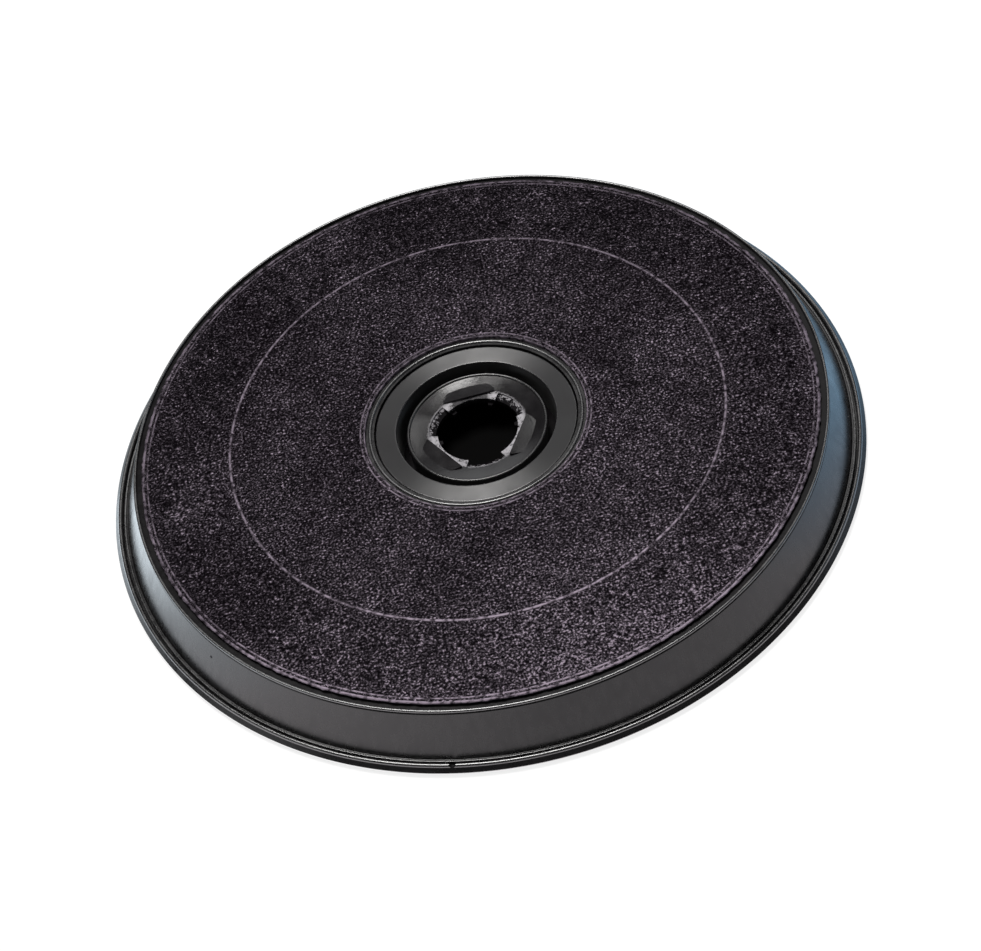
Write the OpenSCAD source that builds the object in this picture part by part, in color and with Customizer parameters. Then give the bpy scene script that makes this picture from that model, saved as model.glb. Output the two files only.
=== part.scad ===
// Round carbon filter for a cooker hood, lying on its wide back with the felt face up.
// A moulded casing with a conical wall holds a bed of carbon granules between two felts.
// A back cover with a grille closes it, and a bayonet bush in the hub holds it to the hood.

/* [Rim and back cover] */
// Diameter over the rim, the widest size of the filter
rim_d = 233; // [215:1:280]
// Radial width of the rim outside the casing's flange
rim_w = 2.5; // [2:0.1:4]
// Gap between the rim and the casing's flange
rim_gap = 0.5; // [0.3:0.05:1]
// Height of the rim's bead above the foot
rim_h = 3.4; // [3:0.1:5]
// Radius of the rim's bead
rim_bead_r = 0.7; // [0.4:0.05:1]
// Height at which the rim is widest
rim_wide_h = 1.5; // [0.8:0.1:1.8]
// Inset of the foot's edge from the widest circle
foot_inset = 0.9; // [0.3:0.1:2]
// Width of the nick in the rim's bead at its inner side, twice its depth there
nick_w = 2.4; // [1:0.1:3]
// Width of the nick at its outer side
nick_tip_w = 1; // [0.6:0.1:2]
// Angle of the nick round the rim
nick_angle = 254.5; // [0:0.5:360]
// Thickness of the seat under the casing's flange
seat_t = 1; // [0.8:0.1:1.4]
// Height of the grille's underside above the foot
grille_lift = 0.3; // [0:0.1:0.6]
// Thickness of the grille's bars
grille_t = 1.6; // [1.2:0.1:3]
// Width of the ring that locates the cover inside the casing's wall
locating_w = 1.6; // [1:0.1:3]
// Width of a grille spoke
spoke_w = 1.8; // [1.2:0.1:3]
// Width of a grille ring
ring_bar_w = 1.8; // [1.2:0.1:3]
// Number of spokes at the hub, doubled in the outer zones
spoke_n = 18; // [12:1:24]
// Number of ring zones between the hub disc and the locating ring
zone_n = 4; // [3:1:5]

/* [Casing] */
// Height of the wall's top corner above the foot
casing_h = 17.7; // [14:0.1:30]
// Thickness of the conical wall
wall_t = 1.6; // [1.2:0.1:3]
// How far the wall leans in between its foot and its top corner
wall_lean = 5.6; // [2:0.1:12]
// Width of the flange outside the wall
flange_w = 1.1; // [1:0.1:4]
// Thickness of the flange
flange_t = 1.9; // [1.2:0.1:3]
// Width of the groove at the wall's foot
groove_w = 0.4; // [0.2:0.1:0.8]
// Depth of the groove at the wall's foot
groove_d = 0.4; // [0.2:0.1:0.8]
// Radius of the bead on the wall's top corner
corner_r = 0.5; // [0.3:0.05:0.8]
// Depth of the line under the corner bead
neck_d = 0.4; // [0.2:0.05:0.6]
// Width of the land between the corner bead and the felt's edge
land_w = 3.3; // [2:0.1:6]
// Depth of the land below the corner bead
land_d = 0.9; // [0.4:0.1:1.3]
// Width of the shelf under the felt's edge
shelf_w = 4; // [2:0.1:10]
// Height of the ribs under the felt
rib_h = 2.2; // [1.6:0.1:4]
// Width of a rib under the felt
rib_w = 1.8; // [1.2:0.1:3]
// Number of ribs under the felt
rib_n = 18; // [12:1:24]

/* [Felt and carbon] */
// Thickness of the front felt
felt_t = 1.5; // [1:0.1:3]
// Height of the felt's outer edge above the corner bead
felt_proud = 0.1; // [0:0.05:0.5]
// Diameter of the crease in the felt
crease_d = 152; // [110:1:176]
// Rise of the felt from its outer edge to the crease
crease_rise = 1.6; // [0.5:0.1:3]
// Rise of the felt from the crease to the hub
hub_rise = 0.6; // [0.2:0.1:2]
// Thickness of the rear felt
rear_felt_t = 1.5; // [1:0.1:3]

/* [Hub] */
// Depth of the hub plate below the felt
plate_drop = 2; // [1:0.1:3]
// Width of the hub plate
plate_w = 6.6; // [4:0.1:10]
// Thickness of the hub plate
plate_t = 1.6; // [1.2:0.1:3]
// Thickness of the hub plate's two skirts
skirt_t = 1.6; // [1.2:0.1:2.4]
// Radius of the hub plate's edges
plate_edge_r = 0.5; // [0.2:0.05:0.7]
// Gap between the hub plate and the collar
plate_gap = 0.3; // [0.2:0.05:0.6]
// Width of the casing's collar round the hub
collar_w = 2.5; // [2:0.1:5]
// Depth of the collar's top below the felt
collar_drop = 1.5; // [1:0.1:2.5]
// Radius of the bead on the collar
collar_bead_r = 0.5; // [0.3:0.05:0.8]
// Thickness of the floor that closes the hub
hub_floor_t = 1.8; // [1.2:0.1:3]

/* [Bayonet bush] */
// Diameter between the bayonet tabs
tab_d = 24.8; // [22:0.1:30]
// Depth of a notch outside the tabs
notch_d = 2.7; // [2:0.1:4]
// Angle of a notch
notch_angle = 48; // [30:1:60]
// Height of a tab's inner edge
tab_t = 1.7; // [1.2:0.1:3]
// Set-back of the latch ring behind the tabs
latch_setback = 0.6; // [0.3:0.1:1]
// Thickness of the latch ring
latch_t = 1.2; // [0.8:0.1:2]
// Length of a tooth inside the tabs
tooth_l = 1.2; // [0.6:0.1:2]
// Width of a tooth
tooth_w = 2.5; // [1.5:0.1:3.5]
// Angle from a tab's middle to its teeth
tooth_angle = 29; // [20:1:31]
// Drop of a notch's ledge at its outer edge
ledge_drop = 0.5; // [0.2:0.1:0.8]
// Fall of a notch's ledge towards the hole
ledge_fall = 1; // [0.5:0.1:1.2]
// Width of the dish from the notches to its rim
dish_w = 6.6; // [5:0.1:9]
// Depth of the dish's bead below the hub plate
dish_drop = 1.6; // [0.8:0.1:2.5]
// Radius of the bead on the dish's rim
dish_bead_r = 0.5; // [0.3:0.05:0.8]
// Spherical radius of the dish
bowl_r = 137; // [90:1:300]
// Thickness of the bush's skirt
bush_skirt_t = 1.8; // [1.2:0.1:2.4]
// Width of the open groove round the dish
moat_w = 2.8; // [2:0.1:5]
// Thickness of the bush's base flange
base_t = 1.6; // [1.2:0.1:3]
// Radius of the pad on a tab, seen from above
pad_r = 8.3; // [6:0.1:9]
// Distance from a tab's edge to the pad's straight side
pad_setback = 0.8; // [0.4:0.1:1.4]
// Height of the pad's straight side above the dish
pad_h = 0.8; // [0.3:0.1:1.2]
// Slope of the pad, falling outwards
pad_slope = 4; // [1:0.5:8]

/* [Hidden] */
$fn = 180;

// Clearance between pieces that fit in or round each other
fit = 0.1;
// Overlap of the shapes that make up one moulding
bite = 0.4;

black_plastic = "#2b2a2c";
gloss_plastic = "#353336";
felt_black = "#262226";
carbon_black = "#1b1b1d";

// The bayonet has three notches, and the first one points away from the back
notch_n = 3;
first_notch = 30;
notch_step = 360 / notch_n;

// Radii of the hub, from the hole outwards
tab_r = tab_d / 2;
throat_r = tab_r + latch_setback;
tooth_r = tab_r - tooth_l;
notch_r = tab_r + notch_d;
dish_r = notch_r + dish_w;
well_r = dish_r - bush_skirt_t;
plate_in = dish_r + moat_w;
plate_out = plate_in + plate_w;
collar_in = plate_out + plate_gap;
collar_out = collar_in + collar_w;
felt_in = collar_out + 2 * fit;
base_r = plate_out - skirt_t - 8 * fit;

// Radii of the wall and the rim, from the rim inwards
rim_r = rim_d / 2;
rim_in = rim_r - rim_w;
flange_r = rim_in - rim_gap;
foot_r = flange_r - flange_w;
strip_in = foot_r + groove_w;
strip_edge_r = (flange_r - strip_in) / 3;
wall_in = foot_r - wall_t;
top_r = foot_r - wall_lean;
felt_out = top_r - land_w;
crease_r = crease_d / 2;
locating_r = wall_in - fit;
locating_in = locating_r - locating_w;

// Heights of the cover and the casing
grille_top = grille_lift + grille_t;
flange_top = seat_t + flange_t;
wall_low = flange_top - groove_d;
neck_h = casing_h - 2 * corner_r - neck_d;
land_h = casing_h - land_d;
hub_floor = grille_top + fit;
hub_floor_top = hub_floor + hub_floor_t;

// Heights of the felt's top at its edge, at the crease and at the hub
felt_edge_h = casing_h + felt_proud;
felt_crease_h = felt_edge_h + crease_rise;
felt_hub_h = felt_crease_h + hub_rise;

// Heights of the hub
plate_h = felt_hub_h - plate_drop;
collar_h = felt_hub_h - collar_drop;
dish_h = plate_h - dish_drop;
bowl_edge_r = dish_r - 2 * dish_bead_r;
bowl_centre_h = dish_h - dish_bead_r + sqrt(bowl_r * bowl_r - bowl_edge_r * bowl_edge_r);
throat_h = bowl_height(notch_r);
tab_low = throat_h - tab_t;
latch_low = tab_low - latch_t;
base_top = hub_floor_top + base_t;

// Height of the dish's surface at a radius
function bowl_height(r) = bowl_centre_h - sqrt(bowl_r * bowl_r - r * r);

// Height of the felt's top at a radius
function felt_height(r) =
    r < crease_r
    ? felt_hub_h + (felt_crease_h - felt_hub_h) * (r - felt_in) / (crease_r - felt_in)
    : felt_crease_h + (felt_edge_h - felt_crease_h) * (r - crease_r) / (felt_out - crease_r);

// Height of the ribs' tops and undersides at a radius
function rib_top(r) = felt_height(r) - felt_t - fit;
function rib_low(r) = rib_top(r) - rib_h;

// Radius of the wall's outer face at a height
function wall_radius(h) = foot_r + (top_r - foot_r) * max(0, h - wall_low) / (neck_h - wall_low);

// A bar in section whose two upper edges are rounded
module rounded_bar(x0, x1, low, high, r) {
    translate([x0, low])
        square([x1 - x0, high - low - r]);
    translate([x0 + r, low])
        square([x1 - x0 - 2 * r, high - low]);
    for (x = [x0 + r, x1 - r])
        translate([x, high - r])
            circle(r);
}

// A flat ring seen from above
module ring_plan(inner, outer) {
    difference() {
        circle(outer);
        circle(inner);
    }
}

// Straight bars from one radius to another, seen from above
module bars_plan(count, inner, outer, width, start) {
    for (i = [0:count - 1])
        rotate(start + i * 360 / count)
            translate([inner, -width / 2])
                square([outer - inner, width]);
}

// Rim, seat and locating ring of the back cover
module cover_rim_section() {
    polygon([
        [locating_in, 0],
        [rim_r - foot_inset, 0],
        [rim_r, rim_wide_h],
        [rim_in + 2 * rim_bead_r, rim_h - rim_bead_r],
        [rim_in, rim_h - rim_bead_r],
        [rim_in, seat_t],
        [locating_in, seat_t]
    ]);
    translate([rim_in + rim_bead_r, rim_h - rim_bead_r])
        circle(rim_bead_r);
    translate([locating_in, 0])
        square([locating_w, grille_top]);
}

// Rings and spokes of the back cover's grille, with more spokes in the outer zones
module grille_plan() {
    zone_w = (locating_in - collar_out) / zone_n;
    dense_zone = ceil(zone_n / 2);
    dense_r = collar_out + dense_zone * zone_w;
    circle(collar_out);
    for (i = [1:zone_n - 1])
        ring_plan(collar_out + i * zone_w - ring_bar_w / 2, collar_out + i * zone_w + ring_bar_w / 2);
    bars_plan(spoke_n, collar_out - bite, locating_in + bite, spoke_w, 0);
    bars_plan(spoke_n, dense_r, locating_in + bite, spoke_w, 180 / spoke_n);
}

// Cut for the nick across the rim's bead, half a cone that narrows outwards
module nick_cut() {
    translate([rim_in - bite, 0, rim_h])
        rotate([0, 90, 0])
            cylinder(r1 = nick_w / 2, r2 = nick_tip_w / 2, h = rim_w + 2 * bite);
}

module rear_cover() {
    color(black_plastic) {
        difference() {
            rotate_extrude()
                cover_rim_section();
            rotate(nick_angle)
                nick_cut();
        }
        translate([0, 0, grille_lift])
            linear_extrude(grille_t)
                grille_plan();
    }
}

// Conical wall with its flange, foot groove, corner bead and the line under it
module wall_section() {
    inner_top = wall_radius(neck_h) - wall_t;
    polygon([
        [wall_in, seat_t],
        [flange_r, seat_t],
        [flange_r, wall_low],
        [foot_r, wall_low],
        [top_r, neck_h],
        [top_r - neck_d, neck_h + neck_d],
        [top_r - corner_r, casing_h - corner_r],
        [top_r - 2 * corner_r, casing_h - corner_r],
        [top_r - 2 * corner_r, land_h],
        [inner_top, land_h],
        [inner_top, neck_h],
        [wall_in, wall_low]
    ]);
    translate([top_r - corner_r, casing_h - corner_r])
        circle(corner_r);
    rounded_bar(strip_in, flange_r, wall_low, flange_top, strip_edge_r);
}

// Shell that holds the ribs and the shelf, stepping up to the land outside the felt
module rib_shell_section() {
    pocket_r = felt_out + fit;
    low_h = rib_low(pocket_r);
    start_r = collar_out - bite;
    polygon([
        [start_r, rib_top(start_r)],
        [crease_r, rib_top(crease_r)],
        [pocket_r, rib_top(pocket_r)],
        [pocket_r, land_h],
        [top_r - wall_t / 2, land_h],
        [wall_radius(low_h) - wall_t / 2, low_h],
        [pocket_r, low_h],
        [crease_r, rib_low(crease_r)],
        [start_r, rib_low(start_r)]
    ]);
}

module rib_plan() {
    ring_plan(felt_out - shelf_w, top_r);
    ring_plan(crease_r - rib_w / 2, crease_r + rib_w / 2);
    bars_plan(rib_n, collar_out - bite, felt_out, rib_w, 0);
}

// Collar round the hub with a bead on its top, and the floor that closes the hub
module collar_section() {
    translate([collar_in, hub_floor])
        square([collar_w, collar_h - hub_floor]);
    translate([(collar_in + collar_out) / 2, collar_h])
        circle(collar_bead_r);
    translate([0, hub_floor])
        square([collar_in + bite, hub_floor_t]);
}

module casing() {
    color(black_plastic) {
        rotate_extrude()
            wall_section();
        rotate_extrude()
            collar_section();
        intersection() {
            rotate_extrude()
                rib_shell_section();
            linear_extrude(felt_hub_h)
                rib_plan();
        }
    }
}

module front_felt() {
    color(felt_black)
        rotate_extrude()
            polygon([
                [felt_in, felt_hub_h],
                [crease_r, felt_crease_h],
                [felt_out, felt_edge_h],
                [felt_out, felt_edge_h - felt_t],
                [crease_r, felt_crease_h - felt_t],
                [felt_in, felt_hub_h - felt_t]
            ]);
}

module carbon_bed() {
    low = grille_top + rear_felt_t;
    edge_low = rib_low(felt_out) - fit;
    color(carbon_black)
        rotate_extrude()
            polygon([
                [felt_in, low],
                [wall_radius(low) - wall_t - fit, low],
                [wall_radius(edge_low) - wall_t - fit, edge_low],
                [felt_out, edge_low],
                [crease_r, rib_low(crease_r) - fit],
                [felt_in, rib_low(felt_in) - fit]
            ]);
}

module rear_felt() {
    top = grille_top + rear_felt_t;
    color(felt_black)
        translate([0, 0, grille_top])
            linear_extrude(rear_felt_t)
                ring_plan(felt_in, wall_radius(top) - wall_t - fit);
}

// Channel-shaped ring: its plate shows, its inner skirt clamps the bush and its outer one
// stands on the hub's floor
module hub_ring() {
    color(black_plastic)
        rotate_extrude() {
            rounded_bar(plate_in, plate_out, plate_h - plate_t, plate_h, plate_edge_r);
            translate([plate_in, base_top])
                square([skirt_t, plate_h - plate_t - base_top]);
            translate([plate_out - skirt_t, hub_floor_top])
                square([skirt_t, plate_h - plate_t - hub_floor_top]);
        }
}

// Half section of the bush before its notches are cut
module bush_section() {
    difference() {
        union() {
            translate([tab_r, tab_low])
                square([bowl_edge_r - tab_r, dish_h - dish_bead_r - tab_low]);
            translate([throat_r, latch_low])
                square([bowl_edge_r - throat_r, latch_t]);
            translate([well_r, hub_floor_top])
                square([bush_skirt_t, dish_h - dish_bead_r - hub_floor_top]);
            translate([well_r, hub_floor_top])
                square([base_r - well_r, base_t]);
        }
        translate([0, bowl_centre_h])
            circle(bowl_r, $fn = 720);
    }
    translate([dish_r - dish_bead_r, dish_h - dish_bead_r])
        circle(dish_bead_r);
}

// Cut that turns one stretch of the hole into a notch with a sloping ledge
module notch_cut() {
    rotate([0, 0, -notch_angle / 2])
        rotate_extrude(angle = notch_angle)
            polygon([
                [0, latch_low - bite],
                [throat_r + fit, latch_low - bite],
                [throat_r + fit, throat_h - ledge_drop - ledge_fall],
                [notch_r, throat_h - ledge_drop],
                [notch_r, plate_h],
                [0, plate_h]
            ]);
}

// Raised pad on a tab: a round plan with a straight inner side and a sloping top
module tab_pad() {
    inner = tab_r + pad_setback;
    top = bowl_height(inner) + pad_h;
    centre = bowl_edge_r - 2 * dish_bead_r - pad_r;
    difference() {
        translate([centre, 0, tab_low + bite])
            cylinder(r = pad_r, h = top - tab_low);
        translate([centre - 2 * pad_r, -2 * pad_r, tab_low])
            cube([inner - centre + 2 * pad_r, 4 * pad_r, 2 * top]);
        translate([inner, -2 * pad_r, top])
            rotate([0, pad_slope, 0])
                translate([-pad_r, 0, 0])
                    cube([4 * pad_r, 4 * pad_r, top]);
    }
}

// One small tooth on the latch ring, pointing at the axis and just clear of the tab above it
module tooth() {
    base = throat_r + bite;
    translate([0, 0, latch_low])
        linear_extrude(latch_t - 2 * fit)
            polygon([
                [tooth_r, -tooth_w / 4],
                [tooth_r, tooth_w / 4],
                [base, tooth_w / 2],
                [base, -tooth_w / 2]
            ]);
}

module bayonet_bush() {
    color(gloss_plastic) {
        difference() {
            rotate_extrude()
                bush_section();
            for (i = [0:notch_n - 1])
                rotate(first_notch + i * notch_step)
                    notch_cut();
        }
        for (i = [0:notch_n - 1])
            rotate(first_notch + (i + 0.5) * notch_step) {
                tab_pad();
                for (side = [-1, 1])
                    rotate(side * tooth_angle)
                        tooth();
            }
    }
}

casing();
front_felt();
carbon_bed();
rear_felt();
rear_cover();
hub_ring();
bayonet_bush();
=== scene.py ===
"""Looks for a round cooker hood carbon filter: needled felts, loose fibres, moulded plastics and a studio."""

import math

import bmesh
import bpy
import numpy as np
from bpy.props import FloatProperty, FloatVectorProperty, IntProperty, PointerProperty
from bpy.types import Operator, Panel, PropertyGroup
from mathutils import Matrix, Vector


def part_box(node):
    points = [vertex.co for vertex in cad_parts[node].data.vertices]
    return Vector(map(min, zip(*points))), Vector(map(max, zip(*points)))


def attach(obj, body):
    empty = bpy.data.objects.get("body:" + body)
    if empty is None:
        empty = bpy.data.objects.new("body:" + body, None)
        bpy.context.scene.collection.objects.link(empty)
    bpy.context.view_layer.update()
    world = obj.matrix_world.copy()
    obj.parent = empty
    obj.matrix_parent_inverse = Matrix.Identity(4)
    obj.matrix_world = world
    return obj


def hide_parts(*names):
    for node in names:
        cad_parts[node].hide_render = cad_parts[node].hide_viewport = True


bl_info = {
    "name": "Carbon filter looks",
    "version": (1, 0, 0),
    "blender": (4, 5, 0),
    "location": "View3D > Sidebar > Carbon filter",
    "description": "Felts, fibres, plastics and studio for a cooker hood carbon filter",
    "category": "Object",
}

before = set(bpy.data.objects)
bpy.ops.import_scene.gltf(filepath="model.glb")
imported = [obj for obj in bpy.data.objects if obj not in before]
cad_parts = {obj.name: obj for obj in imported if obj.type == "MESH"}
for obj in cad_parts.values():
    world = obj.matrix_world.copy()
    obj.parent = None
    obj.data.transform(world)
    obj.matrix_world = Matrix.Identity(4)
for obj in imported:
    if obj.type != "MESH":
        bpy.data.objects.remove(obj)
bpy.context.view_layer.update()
MM = 0.001
IMAGE_WIDTH_PX = 981
WALL_SPECK = (-0.0918, -0.0578, 0.012)
# Corners of a CAD mesh that are this near are one
WELD = 0.0005 * MM
# An edge runs round the axis if its ends' radii differ by less than this
RING_STEP = 2 * MM
SHARP_ANGLE = math.radians(20)
CRISP_ANGLE = math.radians(7)
# The bush's edges are crisp inside this radius, short of the bead on its rim
BUSH_CRISP_RADIUS = 20.6 * MM
NICK_ANGLE = math.radians(254.5)
NICK_GAP = math.radians(0.55)
# Radii and heights of the land round the felt, and limits of the hub's floor
LAND_RADII = (103.4 * MM, 105.95 * MM)
LAND_HEIGHTS = (16.5 * MM, 17.3 * MM)
HUB_RADIUS = 31.3 * MM
HUB_FLOOR_TOP = 12 * MM
# Rings at least this round are laid over the CAD's coarse ones
LEAST_LAID_ROUNDNESS = 0.4 * MM
RING_TURNS = 720
RING_SIDES = 16
# Each node's rounded edges, as (radius of the ring, height, roundness)
ROUNDED_EDGES = {
    "casing": (
        (106.3 * MM, 17.2 * MM, 0.5 * MM),
        (32.65 * MM, 18.5 * MM, 0.5 * MM),
        (113.033 * MM, 2.667 * MM, 0.233 * MM),
        (113.267 * MM, 2.667 * MM, 0.233 * MM),
    ),
    "rear_cover": ((114.7 * MM, 2.7 * MM, 0.7 * MM),),
    "hub_ring": ((25 * MM, 17.5 * MM, 0.5 * MM), (30.6 * MM, 17.5 * MM, 0.5 * MM)),
    "bayonet_bush": ((21.2 * MM, 15.9 * MM, 0.5 * MM),),
}
# Each softbox, as (name, place, width, height, setting of its power, colour)
SOFTBOXES = (
    ("top_softbox", (-0.1, 0.31, 1.12), 0.5, 0.4, "key_power", (1.0, 0.985, 0.97)),
    ("back_softbox", (0.1, 1.0, 0.58), 1.4, 0.3, "back_power", (0.98, 0.99, 1.0)),
    ("corner_softbox", (0.3, 0.75, 0.92), 0.26, 0.26, "corner_power", (1.0, 0.99, 0.98)),
    ("left_softbox", (-0.95, -0.25, 0.3), 0.5, 0.45, "side_power", (0.96, 0.98, 1.0)),
    ("right_softbox", (0.95, 0.1, 0.3), 0.5, 0.45, "fill_power", (0.72, 0.86, 1.0)),
)


def node_reach(name):
    """Greatest radius of a CAD node, which is round about the Z axis."""
    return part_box(name)[1].x


class FeltSettings(PropertyGroup):
    """Sizes and colours of the two felts and the fibres on them"""

    inner_radius: FloatProperty(
        name="Inner radius",
        description="Radius of the front felt's hole, round the hub's collar",
        default=34.1 * MM,
        unit="LENGTH",
    )
    crease_radius: FloatProperty(
        name="Crease radius",
        description="Radius at which the front felt bends over the ring below it",
        default=76 * MM,
        unit="LENGTH",
    )
    outer_radius: FloatProperty(
        name="Outer radius",
        description="Radius of the front felt's cut edge",
        default=node_reach("front_felt"),
        unit="LENGTH",
    )
    hub_height: FloatProperty(
        name="Height at the hub",
        description="Height of the front felt's face at its hole",
        default=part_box("front_felt")[1].z,
        unit="LENGTH",
    )
    crease_height: FloatProperty(
        name="Height at the crease",
        description="Height of the front felt's face at the crease",
        default=19.4 * MM,
        unit="LENGTH",
    )
    edge_height: FloatProperty(
        name="Height at the edge",
        description="Height of the front felt's face at its cut edge",
        default=17.8 * MM,
        unit="LENGTH",
    )
    thickness: FloatProperty(
        name="Thickness",
        description="Thickness of both felts",
        default=1.45 * MM,
        unit="LENGTH",
    )
    relief: FloatProperty(
        name="Relief",
        description="Height of the felt's soft unevenness",
        default=0.12 * MM,
        unit="LENGTH",
    )
    crease_rise: FloatProperty(
        name="Crease ridge",
        description="Height of the narrow ridge that the crease presses up",
        default=0.18 * MM,
        unit="LENGTH",
    )
    colour: FloatVectorProperty(
        name="Felt colour",
        description="Colour of the felt's body",
        default=(0.0020, 0.0015, 0.0021),
        subtype="COLOR",
    )
    fibre_colour: FloatVectorProperty(
        name="Fibre colour",
        description="Colour of the pale fibres in the felt",
        default=(0.40, 0.335, 0.41),
        subtype="COLOR",
    )
    pale_share: FloatProperty(
        name="Pale share",
        description="Share of pale fibres at the felt's middle tone",
        default=0.041,
        min=0,
        max=1,
        subtype="FACTOR",
    )
    contrast: FloatProperty(
        name="Contrast",
        description="How strongly the felt varies from speck to speck, as a power of e",
        default=16.5,
    )
    fibre_count: IntProperty(
        name="Loose fibres",
        description="Number of loose fibres that lie on the face",
        default=5800,
    )
    edge_fibre_count: IntProperty(
        name="Edge fibres",
        description="Number of loose fibres at each cut edge and along the crease",
        default=1200,
    )
    fibre_length: FloatProperty(
        name="Fibre length",
        description="Length of a loose fibre",
        default=1.3 * MM,
        unit="LENGTH",
    )
    fibre_radius: FloatProperty(
        name="Fibre radius",
        description="Radius of a loose fibre",
        default=0.03 * MM,
        unit="LENGTH",
    )


class PlasticSettings(PropertyGroup):
    """Colours and finishes of the mouldings"""

    casing_colour: FloatVectorProperty(
        name="Casing colour",
        description="Colour of the casing, the back cover and the hub ring",
        default=(0.0095, 0.0088, 0.0096),
        subtype="COLOR",
    )
    casing_roughness: FloatProperty(
        name="Casing roughness",
        description="Roughness of the casing's satin finish",
        default=0.27,
        min=0,
        max=1,
        subtype="FACTOR",
    )
    plate_roughness: FloatProperty(
        name="Plate roughness",
        description="Roughness of the turned plate round the hub",
        default=0.46,
        min=0,
        max=1,
        subtype="FACTOR",
    )
    bush_colour: FloatVectorProperty(
        name="Bush colour",
        description="Colour of the glossy bayonet bush",
        default=(0.0065, 0.0055, 0.0065),
        subtype="COLOR",
    )
    bush_roughness: FloatProperty(
        name="Bush roughness",
        description="Roughness of the bush's glossy finish",
        default=0.15,
        min=0,
        max=1,
        subtype="FACTOR",
    )


class StudioSettings(PropertyGroup):
    """Camera and lights"""

    camera_elevation: FloatProperty(
        name="Camera elevation",
        description="Angle of the camera above the surface the filter lies on",
        default=math.radians(48.77),
        subtype="ANGLE",
    )
    camera_roll: FloatProperty(
        name="Camera roll",
        description="Turn of the camera about its own line of sight",
        default=math.radians(14.51),
        subtype="ANGLE",
    )
    camera_distance: FloatProperty(
        name="Camera distance",
        description="Distance from the camera to the filter's rim plane",
        default=0.9,
        unit="LENGTH",
    )
    focal_px: FloatProperty(
        name="Focal length in pixels",
        description="Focal length for an image 981 pixels wide",
        default=2929.8,
    )
    aim_height: FloatProperty(
        name="Aim height",
        description="Height of the rim's widest circle, on which the camera centres",
        default=1.5 * MM,
        unit="LENGTH",
    )
    aim_right: FloatProperty(
        name="Aim offset across",
        description="Place of the rim's centre to the right of the line of sight",
        default=-1.66 * MM,
        unit="LENGTH",
    )
    aim_up: FloatProperty(
        name="Aim offset up",
        description="Place of the rim's centre above the line of sight",
        default=5.55 * MM,
        unit="LENGTH",
    )
    key_power: FloatProperty(
        name="Top light",
        description="Power of the softbox above and behind the filter",
        default=12.0,
        unit="POWER",
    )
    side_power: FloatProperty(
        name="Left light",
        description="Power of the low softbox on the left",
        default=0.5,
        unit="POWER",
    )
    fill_power: FloatProperty(
        name="Right light",
        description="Power of the cool low softbox on the right",
        default=0.4,
        unit="POWER",
    )
    corner_power: FloatProperty(
        name="Corner light",
        description="Power of the small softbox behind the filter on the right",
        default=0.5,
        unit="POWER",
    )
    back_power: FloatProperty(
        name="Back light",
        description="Power of the low wide softbox behind the filter",
        default=1.85,
        unit="POWER",
    )


class FilterSettings(PropertyGroup):
    """Everything that a user would change"""

    felt: PointerProperty(type=FeltSettings)
    plastic: PointerProperty(type=PlasticSettings)
    studio: PointerProperty(type=StudioSettings)


class Graph:
    """Adds nodes to a tree, sets their inputs and links them."""

    def __init__(self, tree):
        self.tree = tree

    def set_input(self, socket, value):
        """Links an output to the socket, or gives the socket a plain value."""
        if isinstance(value, bpy.types.NodeSocket):
            self.tree.links.new(value, socket)
        elif value is not None:
            socket.default_value = value

    def add(self, kind, inputs=(), **settings):
        """A node whose inputs are given by name or number, and whose settings by keyword."""
        node = self.tree.nodes.new(kind)
        for name, value in settings.items():
            setattr(node, name, value)
        for name, value in dict(inputs).items():
            self.set_input(node.inputs[name], value)
        return node

    def math(self, operation, a, b=None, c=None, clamp=False):
        node = self.tree.nodes.new("ShaderNodeMath")
        node.operation = operation
        node.use_clamp = clamp
        for socket, value in zip(node.inputs, (a, b, c)):
            self.set_input(socket, value)
        return node.outputs[0]

    def remap(self, value, from_low, from_high, to_low=0.0, to_high=1.0, smooth=False):
        node = self.add(
            "ShaderNodeMapRange",
            {0: value, 1: from_low, 2: from_high, 3: to_low, 4: to_high},
            interpolation_type="SMOOTHSTEP" if smooth else "LINEAR",
        )
        return node.outputs[0]

    def noise(self, vector, scale, detail=2.0, roughness=0.5, distortion=0.0):
        node = self.add("ShaderNodeTexNoise", {
            "Vector": vector,
            "Scale": scale,
            "Detail": detail,
            "Roughness": roughness,
            "Distortion": distortion,
        })
        return node.outputs["Fac"]

    def mix(self, factor, a, b):
        """Colour between a and b."""
        node = self.add("ShaderNodeMix", data_type="RGBA")
        self.set_input(node.inputs[0], factor)
        self.set_input(node.inputs[6], a)
        self.set_input(node.inputs[7], b)
        return node.outputs[2]

    def bump(self, height, distance, strength=1.0, normal=None):
        inputs = {"Height": height, "Distance": distance, "Strength": strength, "Normal": normal}
        return self.add("ShaderNodeBump", inputs).outputs[0]

    def near(self, value, centre, width):
        """One where value is at centre, falling to nought at width either side."""
        away = self.math("ABSOLUTE", self.math("SUBTRACT", value, centre))
        return self.remap(away, 0.0, width, 1.0, 0.0, smooth=True)

    def ring_place(self, radius, angle, height=None):
        """Place at a radius, an angle about the Z axis and a height."""
        node = self.add("ShaderNodeCombineXYZ", {
            0: self.math("MULTIPLY", radius, self.math("COSINE", angle)),
            1: self.math("MULTIPLY", radius, self.math("SINE", angle)),
            2: height,
        })
        return node.outputs[0]


def rgba(colour, share=1.0):
    """A share of a colour, as a colour socket takes it."""
    return (share * colour[0], share * colour[1], share * colour[2], 1.0)


def new_material(name):
    """A material with a Principled shader, as (material, graph, shader)."""
    material = bpy.data.materials.new(name)
    material.use_nodes = True
    graph = Graph(material.node_tree)
    return material, graph, material.node_tree.nodes["Principled BSDF"]


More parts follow.
